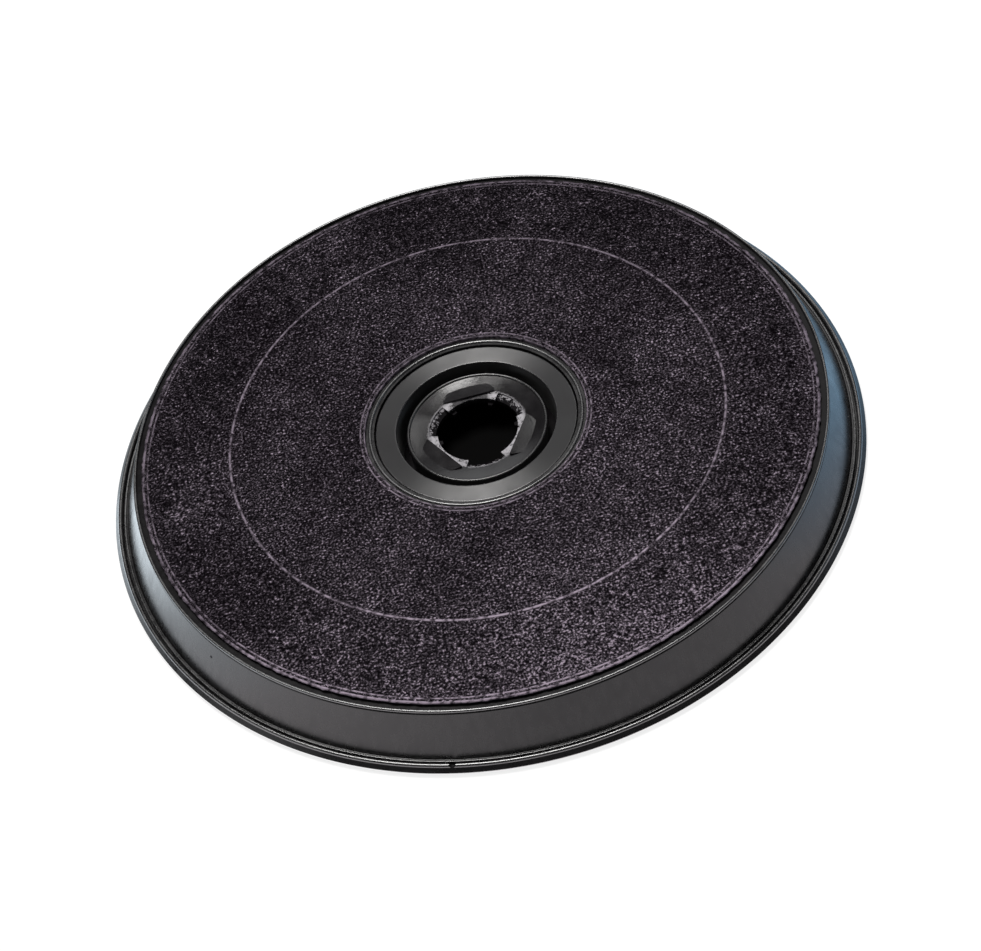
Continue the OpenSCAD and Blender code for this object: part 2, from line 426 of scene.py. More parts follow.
def object_place(graph):
    """Object coordinates, and from them the radius about the Z axis and the height."""
    place = graph.add("ShaderNodeTexCoord").outputs["Object"]
    split = graph.add("ShaderNodeSeparateXYZ", {0: place})
    x, y, z = split.outputs
    radius = graph.math("SQRT", graph.math("ADD", graph.math("MULTIPLY", x, x), graph.math("MULTIPLY", y, y)))
    return place, radius, z


def streaks(graph, place, angle, scale, stretch):
    """Noise drawn out into short lines at an angle, as fibres lie in felt."""
    turned = graph.add("ShaderNodeMapping", {
        "Vector": place,
        "Rotation": (0.0, 0.0, math.radians(angle)),
        "Scale": (scale / stretch, scale, scale),
    })
    return graph.noise(turned.outputs[0], 1.0, detail=3.0, roughness=0.65, distortion=0.35)


def fleece_material(name, felt, crease_radius, edges):
    """Black needled fleece: pale specks and crossed strands on black, paler at the frayed cut edges; painted
    light pales it towards the near side and inside the crease, and painted highlights run along the crease
    and the cut edges.
    """
    material, graph, shader = new_material(name)
    place, radius, _ = object_place(graph)
    strands = None
    for angle in (15, 75, 135):
        layer = streaks(graph, place, angle, 1900, 3)
        strands = layer if strands is None else graph.math("MAXIMUM", strands, layer)
    specks = graph.noise(place, 1450.0, detail=1.5, roughness=0.55)
    clumps = graph.noise(place, 230.0, detail=3.0, roughness=0.6)
    broad = graph.noise(place, 30.0, detail=2.0, roughness=0.5)
    tone = graph.math("MULTIPLY", graph.math("SUBTRACT", specks, 0.5), 0.8)
    tone = graph.math("MULTIPLY_ADD", graph.math("SUBTRACT", strands, 0.6), 0.45, tone)
    tone = graph.math("MULTIPLY_ADD", graph.math("SUBTRACT", clumps, 0.5), 0.16, tone)
    tone = graph.math("MULTIPLY_ADD", graph.math("SUBTRACT", broad, 0.5), 0.12, tone)
    amount = graph.math("MULTIPLY", graph.math("POWER", math.exp(felt.contrast), tone), felt.pale_share)
    away = graph.add("ShaderNodeSeparateXYZ", {0: place}).outputs[1]
    # Painted light: the felt is coloured paler towards the near side, at negative Y, and inside the crease
    painted_light = graph.math(
        "ADD",
        graph.remap(away, 100 * MM, -50 * MM, 0.62, 1.0),
        graph.remap(away, -50 * MM, -100 * MM, 0.0, 1.6),
    )
    painted_light = graph.math("MULTIPLY", painted_light, graph.remap(radius, 70 * MM, 80 * MM, 1.3, 1.0))
    amount = graph.math("MULTIPLY", amount, painted_light)
    broken = graph.remap(graph.noise(place, 520.0, detail=2.0), 0.36, 0.62, 0.1, 1.0)
    # Painted highlight: a pale broken line along the crease, where the fold's ridge catches the light
    if crease_radius:
        fold = graph.near(radius, crease_radius, 0.6 * MM)
        crease_highlight = graph.math("MULTIPLY", fold, graph.math("MULTIPLY", painted_light, 0.75))
        amount = graph.math("MAXIMUM", amount, graph.math("MULTIPLY", crease_highlight, broken))
    # Pale frayed fibres along each cut edge, with a painted highlight where the edge catches the light
    for edge, reach in edges:
        edge_fray_and_highlight = graph.remap(radius, edge + 0.6 * reach, edge + 0.2 * reach, smooth=True)
        edge_fray_and_highlight = graph.math("MULTIPLY", edge_fray_and_highlight, 0.65)
        second = graph.math("MULTIPLY", graph.near(radius, edge + 1.7 * reach, 0.4 * MM), 0.6)
        edge_fray_and_highlight = graph.math("MULTIPLY", graph.math("MAXIMUM", edge_fray_and_highlight, second), painted_light)
        amount = graph.math("MAXIMUM", amount, graph.math("MULTIPLY", edge_fray_and_highlight, broken))
    shade = graph.mix(graph.math("MINIMUM", amount, 1.0), rgba(felt.colour), rgba(felt.fibre_colour))
    graph.set_input(shader.inputs["Base Color"], shade)
    shader.inputs["Roughness"].default_value = 0.9
    shader.inputs["Specular IOR Level"].default_value = 0.0
    relief = graph.math("ADD", graph.math("MULTIPLY", specks, 0.8), graph.math("MULTIPLY", clumps, 0.5))
    graph.set_input(shader.inputs["Normal"], graph.bump(relief, 0.3 * MM, 0.8))
    return material


def fibre_material(name, colour):
    """Single pale fibres, a little glossy."""
    material, graph, shader = new_material(name)
    place, _, _ = object_place(graph)
    vary = graph.noise(place, 900.0, detail=1.0)
    shade = graph.mix(graph.remap(vary, 0.3, 0.7), rgba(colour, 0.12), rgba(colour, 0.75))
    graph.set_input(shader.inputs["Base Color"], shade)
    shader.inputs["Roughness"].default_value = 0.5
    return material


def casing_material(name, settings, specular=0.5, ior=1.5, grain_depth=1.0):
    """Satin black moulded plastic: fine grain, draw lines down the wall, a speck on it, and painted shade
    making the hub's floor near black and matt.
    """
    material, graph, shader = new_material(name)
    place, radius, height = object_place(graph)
    grain = graph.noise(place, 3200.0, detail=2.0, roughness=0.6)
    mottle = graph.noise(place, 150.0, detail=4.0, roughness=0.6)
    drawn = graph.add("ShaderNodeMapping", {"Vector": place, "Scale": (520.0, 520.0, 10.0)}).outputs[0]
    lines = graph.noise(drawn, 1.0, detail=2.0, roughness=0.5)
    colour = settings.casing_colour
    shade = graph.mix(graph.remap(mottle, 0.35, 0.7), rgba(colour, 0.8), rgba(colour, 1.25))
    away = graph.add("ShaderNodeVectorMath", {0: place, 1: WALL_SPECK}, operation="DISTANCE").outputs["Value"]
    speck = graph.remap(away, 0.35 * MM, 0.6 * MM, 1.0, 0.0)
    # Painted shade: the hub's floor deep in its well is coloured near black and made matt, like the real
    # speck on the wall
    in_hub = graph.remap(radius, 31.2 * MM, 31.0 * MM)
    hub_floor_shade = graph.math("MULTIPLY", in_hub, graph.remap(height, 12 * MM, 11 * MM))
    speck_and_hub_shade = graph.math("MAXIMUM", speck, hub_floor_shade)
    graph.set_input(shader.inputs["Base Color"], graph.mix(speck_and_hub_shade, shade, (0.0015, 0.0015, 0.0015, 1.0)))
    rough = graph.math("ADD", graph.remap(mottle, 0.3, 0.7, -0.04, 0.05), settings.casing_roughness)
    rough = graph.math("ADD", rough, graph.remap(lines, 0.3, 0.7, -0.03, 0.04))
    graph.set_input(shader.inputs["Roughness"], graph.math("MAXIMUM", rough, speck_and_hub_shade))
    shader.inputs["Specular IOR Level"].default_value = specular
    shader.inputs["IOR"].default_value = ior
    relief = graph.math("ADD", graph.math("MULTIPLY", grain, 0.5), graph.math("MULTIPLY", lines, 0.8))
    graph.set_input(shader.inputs["Normal"], graph.bump(relief, 0.03 * MM, 0.5 * grain_depth))
    return material


def turned_material(name, settings):
    """Satin plate whose mould was turned: fine rings draw the shine out towards and away from the hub."""
    material, graph, shader = new_material(name)
    place, radius, _ = object_place(graph)
    mottle = graph.noise(place, 160.0, detail=3.0, roughness=0.6)
    colour = settings.casing_colour
    shade = graph.mix(graph.remap(mottle, 0.35, 0.7), rgba(colour, 0.85), rgba(colour, 1.2))
    graph.set_input(shader.inputs["Base Color"], shade)
    rough = graph.math("ADD", graph.remap(mottle, 0.3, 0.7, -0.04, 0.05), settings.plate_roughness)
    graph.set_input(shader.inputs["Roughness"], rough)
    shader.inputs["Specular IOR Level"].default_value = 1.0
    shader.inputs["Anisotropic"].default_value = 0.95
    shader.inputs["Anisotropic Rotation"].default_value = 0.25
    tangent = graph.add("ShaderNodeTangent", direction_type="RADIAL", axis="Z")
    graph.set_input(shader.inputs["Tangent"], tangent.outputs[0])
    ring_spacing = 0.22 * MM
    rings = graph.math("SINE", graph.math("MULTIPLY", radius, 2 * math.pi / ring_spacing))
    grain = graph.noise(place, 2400.0, detail=2.0)
    relief = graph.math("ADD", graph.math("MULTIPLY", rings, 0.25), grain)
    graph.set_input(shader.inputs["Normal"], graph.bump(relief, 0.02 * MM, 0.5))
    return material


def bush_material(name, settings):
    """Glossy black plastic, slightly wavy, with rough pale edges where the hole was trimmed."""
    material, graph, shader = new_material(name)
    place, radius, height = object_place(graph)
    mottle = graph.noise(place, 140.0, detail=3.0, roughness=0.55)
    rag = graph.noise(place, 900.0, detail=3.0, roughness=0.7)
    reach = graph.math("ADD", radius, graph.remap(rag, 0.3, 0.7, -0.5 * MM, 0.5 * MM))
    trimmed = graph.remap(reach, 15.3 * MM, 15.7 * MM, 1.0, 0.0)
    burr = graph.math("ADD", height, graph.remap(rag, 0.3, 0.7, -1.2 * MM, 0.9 * MM))
    above = graph.remap(burr, 14.0 * MM, 14.4 * MM)
    below = graph.remap(height, 15.05 * MM, 15.3 * MM, 1.0, 0.0)
    across, ahead, _ = graph.add("ShaderNodeSeparateXYZ", {0: place}).outputs
    aside = graph.remap(graph.math("ABSOLUTE", across), 5.0 * MM, 6.5 * MM, 1.0, 0.0)
    clean_cut = graph.math("MULTIPLY", aside, graph.remap(ahead, 2 * MM, 6 * MM))
    edge = graph.math("MULTIPLY", trimmed, graph.math("MULTIPLY", above, below))
    edge = graph.math("MULTIPLY", edge, graph.math("MULTIPLY_ADD", clean_cut, -0.85, 1.0))
    colour = settings.bush_colour
    shade = graph.mix(graph.remap(mottle, 0.35, 0.7), rgba(colour, 0.85), rgba(colour, 1.25))
    torn = graph.remap(burr, 14.0 * MM, 15.0 * MM)
    pale = graph.mix(torn, (0.05, 0.047, 0.052, 1.0), (0.4, 0.385, 0.41, 1.0))
    graph.set_input(shader.inputs["Base Color"], graph.mix(edge, shade, pale))
    rough = graph.math("ADD", graph.remap(mottle, 0.3, 0.7, -0.03, 0.05), settings.bush_roughness)
    rough = graph.math("MAXIMUM", rough, graph.math("MULTIPLY", edge, 0.5))
    graph.set_input(shader.inputs["Roughness"], rough)
    soft = graph.bump(graph.noise(place, 70.0, detail=1.0), 0.35 * MM, 0.5)
    graph.set_input(shader.inputs["Normal"], graph.bump(rag, 0.05 * MM, 0.25, soft))
    return material


def granule_material(name):
    """Matt black granules of carbon."""
    material, graph, shader = new_material(name)
    place, _, _ = object_place(graph)
    cells = graph.add("ShaderNodeTexVoronoi", {"Vector": place, "Scale": 420.0}, feature="F1")
    tone = graph.remap(cells.outputs["Distance"], 0.1, 0.8)
    shade = graph.mix(tone, (0.03, 0.03, 0.032, 1.0), (0.004, 0.004, 0.005, 1.0))
    graph.set_input(shader.inputs["Base Color"], shade)
    shader.inputs["Roughness"].default_value = 0.7
    graph.set_input(shader.inputs["Normal"], graph.bump(cells.outputs["Distance"], -1.2 * MM))
    return material


def set_material(obj, material):
    """Gives every slot of a CAD node the same material."""
    if not obj.material_slots:
        obj.data.materials.append(material)
    for slot in obj.material_slots:
        slot.material = material


def geometry_tree(name, sizes):
    """An empty geometry tree whose group inputs are the named sizes, as (tree, graph, group input)."""
    tree = bpy.data.node_groups.new(name, "GeometryNodeTree")
    kinds = {float: "NodeSocketFloat", int: "NodeSocketInt", bpy.types.Material: "NodeSocketMaterial"}
    for label, value in sizes.items():
        kind = kinds.get(type(value), "NodeSocketMaterial")
        tree.interface.new_socket(label, in_out="INPUT", socket_type=kind)
    tree.interface.new_socket("Geometry", in_out="OUTPUT", socket_type="NodeSocketGeometry")
    graph = Graph(tree)
    return tree, graph, graph.add("NodeGroupInput").outputs


def piece_from_tree(name, tree, sizes):
    """Evaluates a geometry tree with its sizes and returns a plain mesh object."""
    holder = bpy.data.objects.new(name, bpy.data.meshes.new(name))
    bpy.context.scene.collection.objects.link(holder)
    modifier = holder.modifiers.new(name, "NODES")
    modifier.node_group = tree
    for item in tree.interface.items_tree:
        if item.item_type == "SOCKET" and item.in_out == "INPUT":
            modifier[item.identifier] = sizes[item.name]
    evaluated = holder.evaluated_get(bpy.context.evaluated_depsgraph_get())
    mesh = bpy.data.meshes.new_from_object(evaluated)
    mesh.name = name
    holder.modifiers.remove(modifier)
    holder.data = mesh
    return holder


def finish_tree(graph, geometry, material):
    """Ends a tree: real geometry, shaded smooth, in its material."""
    real = graph.add("GeometryNodeRealizeInstances", {"Geometry": geometry})
    smooth = graph.add("GeometryNodeSetShadeSmooth", {"Geometry": real.outputs[0]})
    dressed = graph.add("GeometryNodeSetMaterial", {"Geometry": smooth.outputs[0], "Material": material})
    graph.add("NodeGroupOutput", {0: dressed.outputs[0]})


def felt_top(graph, size, radius):
    """Height of the felt's face: two slopes that meet at the crease."""
    inner, crease, outer = size["Inner Radius"], size["Crease Radius"], size["Outer Radius"]
    inside = graph.remap(radius, inner, crease, size["Hub Height"], size["Crease Height"])
    outside = graph.remap(radius, crease, outer, size["Crease Height"], size["Edge Height"])
    return graph.math("MINIMUM", inside, outside)


def felt_tree(name, sizes):
    """A felt disc with a hole, lathed from its closed section: face, cut edge, underside, hole."""
    tree, graph, size = geometry_tree(name, sizes)
    grid = graph.add(
        "GeometryNodeMeshGrid",
        {
            "Size X": 1.0,
            "Size Y": 1.0,
            "Vertices X": graph.math("ADD", size["Section Steps"], 1),
            "Vertices Y": graph.math("ADD", size["Turn Steps"], 1),
        },
    )
    split = graph.add("ShaderNodeSeparateXYZ", {0: graph.add("GeometryNodeInputPosition").outputs[0]})
    along = graph.math("ADD", split.outputs[0], 0.5)
    turn = graph.math("MULTIPLY", graph.math("ADD", split.outputs[1], 0.5), 2 * math.pi)
    face, edge, under = 0.84, 0.88, 0.97
    outwards = graph.math("SUBTRACT", graph.remap(along, 0.0, face), graph.remap(along, edge, under))
    depth = graph.math("SUBTRACT", graph.remap(along, face, edge), graph.remap(along, under, 1.0))
    span = graph.math("SUBTRACT", size["Outer Radius"], size["Inner Radius"])
    radius = graph.math("MULTIPLY_ADD", outwards, span, size["Inner Radius"])
    top = felt_top(graph, size, radius)
    flat = graph.ring_place(radius, turn)
    waves = graph.math("SUBTRACT", graph.noise(flat, 90.0, detail=4.0, roughness=0.6), 0.5)
    ridge = graph.math("MULTIPLY", graph.near(radius, size["Crease Radius"], 0.9 * MM), size["Crease Ridge"])
    lift = graph.math("ADD", graph.math("MULTIPLY", waves, size["Relief"]), ridge)
    face_only = graph.math("SUBTRACT", 1.0, depth)
    drop = graph.math("MULTIPLY", depth, size["Thickness"])
    height = graph.math("SUBTRACT", graph.math("MULTIPLY_ADD", lift, face_only, top), drop)
    ragged = graph.noise(flat, 700.0, detail=3.0, roughness=0.6)
    fray = graph.remap(ragged, 0.3, 0.7, 0.3 * MM, 1.0 * MM)
    fray = graph.math("MULTIPLY", fray, graph.remap(depth, 0.0, 0.5, 1.0, 0.0))
    at_edge = graph.math("MULTIPLY", graph.remap(outwards, 0.994, 1.0), fray)
    place = graph.ring_place(graph.math("ADD", radius, at_edge), turn, height)
    moved = graph.add("GeometryNodeSetPosition", {"Geometry": grid.outputs[0], "Position": place})
    merged = graph.add("GeometryNodeMergeByDistance", {"Geometry": moved.outputs[0], "Distance": 0.002 * MM})
    finish_tree(graph, merged.outputs[0], size["Material"])
    return tree


def fibre_tree(name, sizes):
    """Loose curved fibres, scattered over the face and crowded along its two edges and the crease."""
    tree, graph, size = geometry_tree(name, sizes)
    half = graph.math("MULTIPLY", size["Fibre Length"], 0.5)
    start = graph.add("ShaderNodeCombineXYZ", {0: graph.math("MULTIPLY", half, -1.0)})
    middle = graph.add("ShaderNodeCombineXYZ", {
        1: graph.math("MULTIPLY", half, 0.5),
        2: graph.math("MULTIPLY", half, 0.22),
    })
    end = graph.add("ShaderNodeCombineXYZ", {0: half})
    bow = graph.add("GeometryNodeCurveQuadraticBezier", {
        "Resolution": 3,
        "Start": start.outputs[0],
        "Middle": middle.outputs[0],
        "End": end.outputs[0],
    })
    section = {"Resolution": 3, "Radius": size["Fibre Radius"]}
    round_section = graph.add("GeometryNodeCurvePrimitiveCircle", section)
    fibre = graph.add("GeometryNodeCurveToMesh", {
        "Curve": bow.outputs[0],
        "Profile Curve": round_section.outputs[0],
        "Fill Caps": True,
    })
    inner_square = graph.math("MULTIPLY", size["Inner Radius"], size["Inner Radius"])
    outer_square = graph.math("MULTIPLY", size["Outer Radius"], size["Outer Radius"])
    join = graph.add("GeometryNodeJoinGeometry")
    # The whole face, then the bands at the hole, the crease and the cut edge
    bands = (
        (size["Fibre Count"], None, 0.0),
        (size["Edge Count"], size["Inner Radius"], 1.1 * MM),
        (size["Edge Count"], size["Crease Radius"], 0.5 * MM),
        (size["Edge Count"], size["Outer Radius"], -1.3 * MM),
    )
    for seed, (count, start_radius, spread) in enumerate(bands):
        def random(low, high, number):
            node = graph.add("FunctionNodeRandomValue", {"Seed": 10 * seed + number}, data_type="FLOAT")
            graph.set_input(node.inputs[2], low)
            graph.set_input(node.inputs[3], high)
            return node.outputs[1]

        points = graph.add("GeometryNodePoints", {"Count": count})
        angle = random(0.0, 2 * math.pi, 1)
        if start_radius is None:
            radius = graph.math("SQRT", random(inner_square, outer_square, 2))
        else:
            radius = graph.math("MULTIPLY_ADD", random(0.0, 1.0, 2), spread, start_radius)
        height = graph.math("ADD", felt_top(graph, size, radius), random(-0.1 * MM, 0.04 * MM, 3))
        place = graph.ring_place(radius, angle, height)
        put = graph.add("GeometryNodeSetPosition", {"Geometry": points.outputs[0], "Position": place})
        if start_radius is None:
            heading = random(0.0, 2 * math.pi, 4)
        else:
            heading = graph.math("ADD", graph.math("ADD", angle, math.pi / 2), random(-0.7, 0.7, 4))
        turn = graph.add("ShaderNodeCombineXYZ", {
            0: random(-0.9, 0.9, 5),
            1: random(-0.12, 0.12, 6),
            2: heading,
        })
        scattered = graph.add("GeometryNodeInstanceOnPoints", {
            "Points": put.outputs[0],
            "Instance": fibre.outputs[0],
            "Rotation": turn.outputs[0],
            "Scale": random(0.35, 1.25, 7),
        })
        tree.links.new(scattered.outputs[0], join.inputs[0])
    finish_tree(graph, join.outputs[0], size["Material"])
    return tree


def merged_triangles(node):
    """Corners and triangles of a CAD node's mesh, with the corners that share a place made one."""
    bm = bmesh.new()
    bm.from_mesh(node.data)
    bmesh.ops.remove_doubles(bm, verts=bm.verts, dist=WELD)
    bmesh.ops.triangulate(bm, faces=bm.faces)
    bmesh.ops.dissolve_degenerate(bm, edges=bm.edges, dist=WELD)
    bmesh.ops.triangulate(bm, faces=bm.faces)
    bm.verts.index_update()
    corners = np.array([v.co[:] for v in bm.verts])
    triangles = np.array([[v.index for v in f.verts] for f in bm.faces])
    bm.free()
    return corners, triangles


def split_round(corners, triangles, step):
    """Splits each triangle in four. The middle of an edge that runs round the axis is put on its arc."""
    pairs = np.concatenate([triangles[:, [0, 1]], triangles[:, [1, 2]], triangles[:, [2, 0]]])
    edges, which = np.unique(np.sort(pairs, axis=1), axis=0, return_inverse=True)
    a, b = corners[edges[:, 0]], corners[edges[:, 1]]
    middle = (a + b) / 2
    radius_a, radius_b = np.hypot(a[:, 0], a[:, 1]), np.hypot(b[:, 0], b[:, 1])
    flat = np.hypot(middle[:, 0], middle[:, 1])
    short = np.linalg.norm(a - b, axis=1) < 8 * step
    round_it = (np.abs(radius_a - radius_b) < step) & short & (flat > step)
    grow = np.where(round_it, (radius_a + radius_b) / 2 / np.maximum(flat, 1e-9), 1.0)
    middle[:, :2] *= grow[:, None]
    ab, bc, ca = which.reshape(3, -1) + len(corners)
    i, j, k = triangles.T
    quarters = [np.stack(t, axis=1) for t in ((i, ab, ca), (ab, j, bc), (ca, bc, k), (ab, bc, ca))]
    return np.concatenate([corners, middle]), np.concatenate(quarters)


def edge_ring(ring, level, roundness, start, end):
    """Corners and triangles of a closed round bar along a ring, from one angle to another in radians."""
    turns, sides = RING_TURNS, RING_SIDES
    angle = np.linspace(start, end, turns + 1)
    section = np.arange(sides) * 2 * math.pi / sides
    radius = ring + roundness * np.cos(section)[None, :]
    x, y = np.cos(angle)[:, None] * radius, np.sin(angle)[:, None] * radius
    z = np.broadcast_to(level + roundness * np.sin(section), x.shape)
    corners = np.stack([x, y, z], axis=2).reshape(-1, 3)
    first, side = np.meshgrid(np.arange(turns) * sides, np.arange(sides), indexing="ij")
    after = (side + 1) % sides
    a, b = (first + side).ravel(), (first + after).ravel()
    triangles = [np.stack([a, a + sides, b], axis=1), np.stack([b, a + sides, b + sides], axis=1)]
    fan = np.arange(1, sides - 1)
    last = turns * sides
    triangles.append(np.stack([0 * fan, fan, fan + 1], axis=1))
    triangles.append(np.stack([0 * fan + last, fan + 1 + last, fan + last], axis=1))
    return corners, np.concatenate(triangles)


def mark_sharp(mesh, crisp_inside):
    """Marks edges from the sharp angle on, and from the crisp angle on nearer the axis than crisp_inside."""
    bm = bmesh.new()
    bm.from_mesh(mesh)
    for edge in bm.edges:
        a, b = edge.verts
        near_axis = max(a.co.to_2d().length, b.co.to_2d().length) < crisp_inside
        limit = CRISP_ANGLE if near_axis else SHARP_ANGLE
        edge.smooth = len(edge.link_faces) == 2 and edge.calc_face_angle(math.pi) < limit
    bm.to_mesh(mesh)
    bm.free()


def edge_slopes(mesh, edges):
    """Gives the corners on each rounded edge its exact slope, and its faces the second material."""
    count = len(mesh.loops)
    corner = np.empty(count, dtype=np.int32)
    mesh.loops.foreach_get("vertex_index", corner)
    places = np.empty(3 * len(mesh.vertices))
    mesh.vertices.foreach_get("co", places)
    places = places.reshape(-1, 3)[corner]
    faces = np.repeat(np.array([polygon.normal[:] for polygon in mesh.polygons]), 3, axis=0)
    normals = np.empty(3 * count)
    mesh.corner_normals.foreach_get("vector", normals)
    normals = normals.reshape(-1, 3)
    radius = np.hypot(places[:, 0], places[:, 1])
    outwards = places[:, :2] / np.maximum(radius, 1e-6)[:, None]
    face_out = (faces[:, :2] * outwards).sum(axis=1)
    rounded = np.zeros(count, dtype=bool)
    for ring, level, roundness in edges:
        out, up = radius - ring, places[:, 2] - level
        reach = np.maximum(np.hypot(out, up), 1e-9)
        out, up = out / reach, up / reach
        on_edge = np.abs(reach - roundness) < 0.15 * roundness
        facing = face_out * out + faces[:, 2] * up
        chosen = on_edge & (facing > 0.8)
        normals[chosen, :2] = outwards[chosen] * out[chosen, None]
        normals[chosen, 2] = up[chosen]
        rounded |= chosen
    mesh.normals_split_custom_set(normals.tolist())
    polished = rounded.reshape(-1, 3).all(axis=1)
    mesh.polygons.foreach_set("material_index", polished.astype(np.int32))


def rounded_copy(name, node, materials, edges, crisp_inside=0.0):
    """A finer copy of a CAD node, with rounder rings, smooth soft edges and exact rounded edges."""
    corners, triangles = merged_triangles(node)
    corners, triangles = split_round(corners, triangles, RING_STEP)
    gap = NICK_GAP if node.name == "rear_cover" else 0.0
    start, end = NICK_ANGLE + gap, NICK_ANGLE + 2 * math.pi - gap
    for ring, level, roundness in edges:
        if roundness > LEAST_LAID_ROUNDNESS:
            extra, faces = edge_ring(ring, level, roundness, start, end)
            triangles = np.concatenate([triangles, faces + len(corners)])
            corners = np.concatenate([corners, extra])
    mesh = bpy.data.meshes.new(name)
    mesh.from_pydata(corners.tolist(), [], triangles.tolist())
    for material in materials:
        mesh.materials.append(material)
    piece = bpy.data.objects.new(name, mesh)
    bpy.context.scene.collection.objects.link(piece)
    mesh.shade_smooth()
    mark_sharp(mesh, crisp_inside)
    edge_slopes(mesh, edges)
    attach(piece, "root")
    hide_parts(node.name)
    return piece


def felt_shape(felt):
    """Sizes of the front felt's face, by the names that its trees give them."""
    return {
        "Inner Radius": felt.inner_radius,
        "Crease Radius": felt.crease_radius,
        "Outer Radius": felt.outer_radius,
        "Hub Height": felt.hub_height,
        "Crease Height": felt.crease_height,
        "Edge Height": felt.edge_height,
    }


class CARBONFILTER_OT_front_felt(Operator):
    """Make the front felt, with its crease and its soft relief, in place of its plain solid"""

    bl_idname = "carbonfilter.front_felt"
    bl_label = "Front felt"

    def execute(self, context):
        felt = context.scene.carbon_filter.felt
        sizes = {
            **felt_shape(felt),
            "Thickness": felt.thickness,
            "Relief": felt.relief,
            "Crease Ridge": felt.crease_rise,
            "Section Steps": 165,
            "Turn Steps": 540,
            "Material": fleece_material(
                "front_fleece",
                felt,
                felt.crease_radius,
                ((felt.outer_radius, -0.75 * MM), (felt.inner_radius, 0.8 * MM)),
            ),
        }
        piece = piece_from_tree("felt_face", felt_tree("felt_face_section", sizes), sizes)
        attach(piece, "root")
        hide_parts("front_felt")
        return {"FINISHED"}


class CARBONFILTER_OT_loose_fibres(Operator):
    """Scatter loose pale fibres over the front felt and along its edges and crease"""

    bl_idname = "carbonfilter.loose_fibres"
    bl_label = "Loose fibres"

    def execute(self, context):
        felt = context.scene.carbon_filter.felt
        sizes = {
            **felt_shape(felt),
            "Fibre Length": felt.fibre_length,
            "Fibre Radius": felt.fibre_radius,
            "Fibre Count": felt.fibre_count,
            "Edge Count": felt.edge_fibre_count,
            "Material": fibre_material("pale_fibre", felt.fibre_colour),
        }
        piece = piece_from_tree("felt_fibres", fibre_tree("felt_fibre_scatter", sizes), sizes)
        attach(piece, "root")
        return {"FINISHED"}


class CARBONFILTER_OT_rear_felt(Operator):
    """Make the rear felt that shows between the grille's bars, in place of its plain solid"""

    bl_idname = "carbonfilter.rear_felt"
    bl_label = "Rear felt"

    def execute(self, context):
        felt = context.scene.carbon_filter.felt
        low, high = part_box("rear_felt")
        outer = node_reach("rear_felt")
        sizes = {
            "Inner Radius": felt.inner_radius,
            "Crease Radius": (felt.inner_radius + outer) / 2,
            "Outer Radius": outer,
            "Hub Height": high.z,
            "Crease Height": high.z,
            "Edge Height": high.z,
            "Thickness": high.z - low.z,
            "Relief": 0.0,
            "Crease Ridge": 0.0,
            "Section Steps": 90,
            "Turn Steps": 360,
            "Material": fleece_material("rear_fleece", felt, 0.0, ()),
        }
        piece = piece_from_tree("felt_back", felt_tree("felt_back_section", sizes), sizes)
        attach(piece, "root")
        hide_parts("rear_felt")
        return {"FINISHED"}


class CARBONFILTER_OT_mouldings(Operator):
    """Give the plastic mouldings and the carbon bed their finishes"""

    bl_idname = "carbonfilter.mouldings"
    bl_label = "Mouldings and carbon"

    def execute(self, context):
        plastic = context.scene.carbon_filter.plastic
        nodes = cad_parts
        satin = casing_material("satin_plastic", plastic)
        polished = casing_material("polished_edge", plastic, specular=1.0, ior=1.7, grain_depth=0.2)
        smooth = casing_material("smooth_edge", plastic, specular=0.8, grain_depth=0.2)
        turned = turned_material("turned_plastic", plastic)
        gloss = bush_material("gloss_plastic", plastic)
        finishes = (
            ("casing", "casing_plastic", (satin, polished), 0.0),
            ("rear_cover", "casing_plastic", (satin, polished), 0.0),
            ("hub_ring", "casing_plastic", (turned, smooth), 0.0),
            ("bayonet_bush", "bush_plastic", (gloss, smooth), BUSH_CRISP_RADIUS),
        )
        for node, slot, materials, crisp_inside in finishes:
            edges = ROUNDED_EDGES[node]
            piece = rounded_copy(f"{node}_moulding", nodes[node], materials, edges, crisp_inside)
            if node == "casing":
                # Painted shade on the land round the felt and on the hub's floor: a copy of the satin plastic
                # with little shine
                self.shade_recesses(piece, casing_material("recess_plastic", plastic, specular=0.1))
        set_material(nodes["carbon_bed"], granule_material("carbon_granules"))
        return {"FINISHED"}

    def shade_recesses(self, piece, material):
        """Painted shade: a copy of the satin plastic with little shine, on the narrow land round the felt and
        on the hub's floor.
        """
        piece.data.materials.append(material)
        last = len(piece.data.materials) - 1
        for face in piece.data.polygons:
            radius = face.center.to_2d().length
            height = face.center.z
            in_land = LAND_RADII[0] < radius < LAND_RADII[1]
            on_land = in_land and LAND_HEIGHTS[0] < height < LAND_HEIGHTS[1]
            in_hub = radius < HUB_RADIUS and height < HUB_FLOOR_TOP
            if on_land or in_hub:
                face.material_index = last


def aimed(place, target):
    """Matrix of a lamp at place that shines at target."""
    turn = (Vector(target) - Vector(place)).to_track_quat("-Z", "Y")
    return Matrix.Translation(place) @ turn.to_matrix().to_4x4()


def softbox(name, place, target, width, height, power, colour):
    """A rectangular area lamp at place that shines at target."""
    light = bpy.data.lights.new(name, "AREA")
    light.shape = "RECTANGLE"
    light.size = width
    light.size_y = height
    light.energy = power
    light.color = colour
    lamp = bpy.data.objects.new(name, light)
    lamp.matrix_world = aimed(place, target)
    bpy.context.scene.collection.objects.link(lamp)
    return lamp


